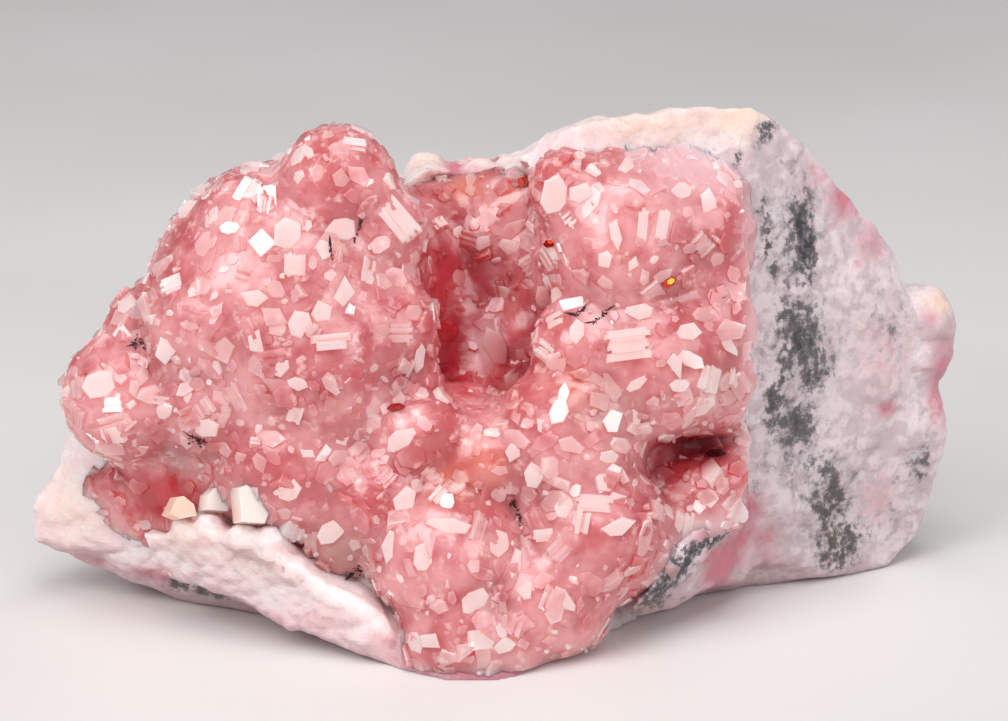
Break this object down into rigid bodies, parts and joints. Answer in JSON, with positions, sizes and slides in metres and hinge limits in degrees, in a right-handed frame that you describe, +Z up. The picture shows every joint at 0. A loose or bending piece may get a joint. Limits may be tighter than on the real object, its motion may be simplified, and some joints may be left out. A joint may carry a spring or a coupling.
{
  "type": "shigaite on rhodochrosite specimen",
  "caption": "Hand specimen: pale broken matrix with a crust of pink rhodochrosite domes set with rhombs, and small orange-red shigaite plates.",
  "frame": {"origin": "middle of the specimen's box, on the surface that it stands on", "axes": "+X along its length, from the foot to the broken right face; +Y from the crusted front to the back; +Z up"},
  "size_m": [0.046, 0.021, 0.0248],
  "materials": {
    "matrix": "rough granular white and pink carbonate with grey-black bands",
    "rhodochrosite": "translucent pink, with bright glassy crystal faces",
    "shigaite": "glassy, translucent orange-red",
    "manganese_oxide": "black, submetallic",
    "calcite": "glassy, cream to peach"
  },
  "bodies": {
    "root": {"matrix": "matrix", "rhodochrosite_crust": "rhodochrosite", "shigaite_plate_1": "shigaite", "shigaite_plate_2": "shigaite", "shigaite_plate_3": "shigaite", "shigaite_plate_4": "shigaite", "shigaite_plate_5": "shigaite", "oxide_tuft_1": "manganese_oxide", "oxide_tuft_2": "manganese_oxide", "oxide_tuft_3": "manganese_oxide", "oxide_tuft_4": "manganese_oxide", "oxide_tuft_5": "manganese_oxide", "oxide_tuft_6": "manganese_oxide", "oxide_tuft_7": "manganese_oxide", "oxide_tuft_8": "manganese_oxide", "calcite_rhomb_1": "calcite", "calcite_rhomb_2": "calcite", "calcite_rhomb_3": "calcite"}
  },
  "joints": []
}
